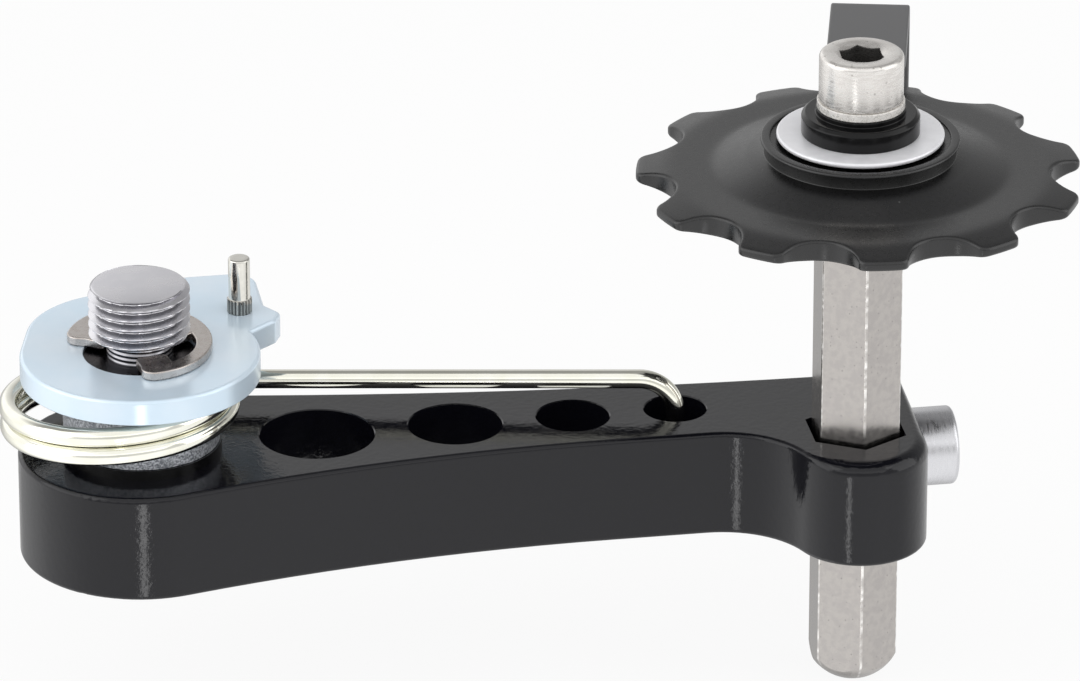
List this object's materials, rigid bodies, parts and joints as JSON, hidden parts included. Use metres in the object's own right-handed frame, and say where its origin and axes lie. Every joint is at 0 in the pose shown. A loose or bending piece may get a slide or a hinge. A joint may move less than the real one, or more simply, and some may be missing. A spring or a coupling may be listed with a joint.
{
  "type": "bicycle chain tensioner",
  "caption": "Sprung chain tensioner that screws into a derailleur hanger: drilled arm, torsion spring, sliding hexagonal chainline bar and a guarded toothed pulley.",
  "frame": {"origin": "on the pivot axis, where the hanger thread starts and the frame's hanger seats", "axes": "+Z along the hanger thread, +X along the arm's row of holes towards the chainline bar, -Y the side the picture looks from"},
  "size_m": [0.1059, 0.0528, 0.0674],
  "materials": {
    "black_arm": "semi-gloss black coat",
    "zinc_plate": "pale blue zinc",
    "clip_steel": "satin spring steel",
    "pin_nickel": "bright nickel",
    "spring_wire": "glossy pale yellow plating",
    "sleeve_steel": "rough grey",
    "bolt_steel": "turned steel",
    "bush_plastic": "black",
    "bar_nickel": "nickel with pits",
    "guard_grey": "matte dark grey",
    "wheel_plastic": "matte dark grey",
    "bush_bronze": "sintered",
    "cap_steel": "bright",
    "spacer_black": "semi-gloss black",
    "screw_steel": "turned stainless"
  },
  "bodies": {
    "hanger_side": {"pivot_bolt": "bolt_steel", "retaining_clip": "clip_steel", "stop_plate": "zinc_plate", "stop_pin": "pin_nickel", "spring_collar": "sleeve_steel", "tension_spring": "spring_wire"},
    "arm": {"arm": "black_arm", "upper_bush": "bush_plastic", "lower_bush": "bush_plastic", "clamp_bolt": "screw_steel"},
    "bar": {"chainline_bar": "bar_nickel", "chain_guard": "guard_grey", "lower_spacer": "spacer_black", "lower_dust_cap": "cap_steel", "pulley_bush": "bush_bronze", "upper_dust_cap": "cap_steel", "upper_spacer": "spacer_black", "lock_washer": "screw_steel", "pulley_bolt": "screw_steel"},
    "pulley": {"pulley_wheel": "wheel_plastic"}
  },
  "joints": [
    {"name": "arm_pivot", "type": "hinge", "parent": "hanger_side", "child": "arm", "pos_m": [0, 0, 0], "axis": [0, 0, 1], "range_deg": [-90, 0], "stiffness_Nm_per_rad": 0.8, "deforming": ["tension_spring"]},
    {"name": "bar_slide", "type": "slide", "parent": "arm", "child": "bar", "axis": [0, 0, 1], "range_m": [-0.015, 0.012]},
    {"name": "pulley_spin", "type": "hinge", "parent": "bar", "child": "pulley", "pos_m": [0.0701, -0.00733, 0.015], "axis": [0, 0, 1], "continuous": true}
  ]
}
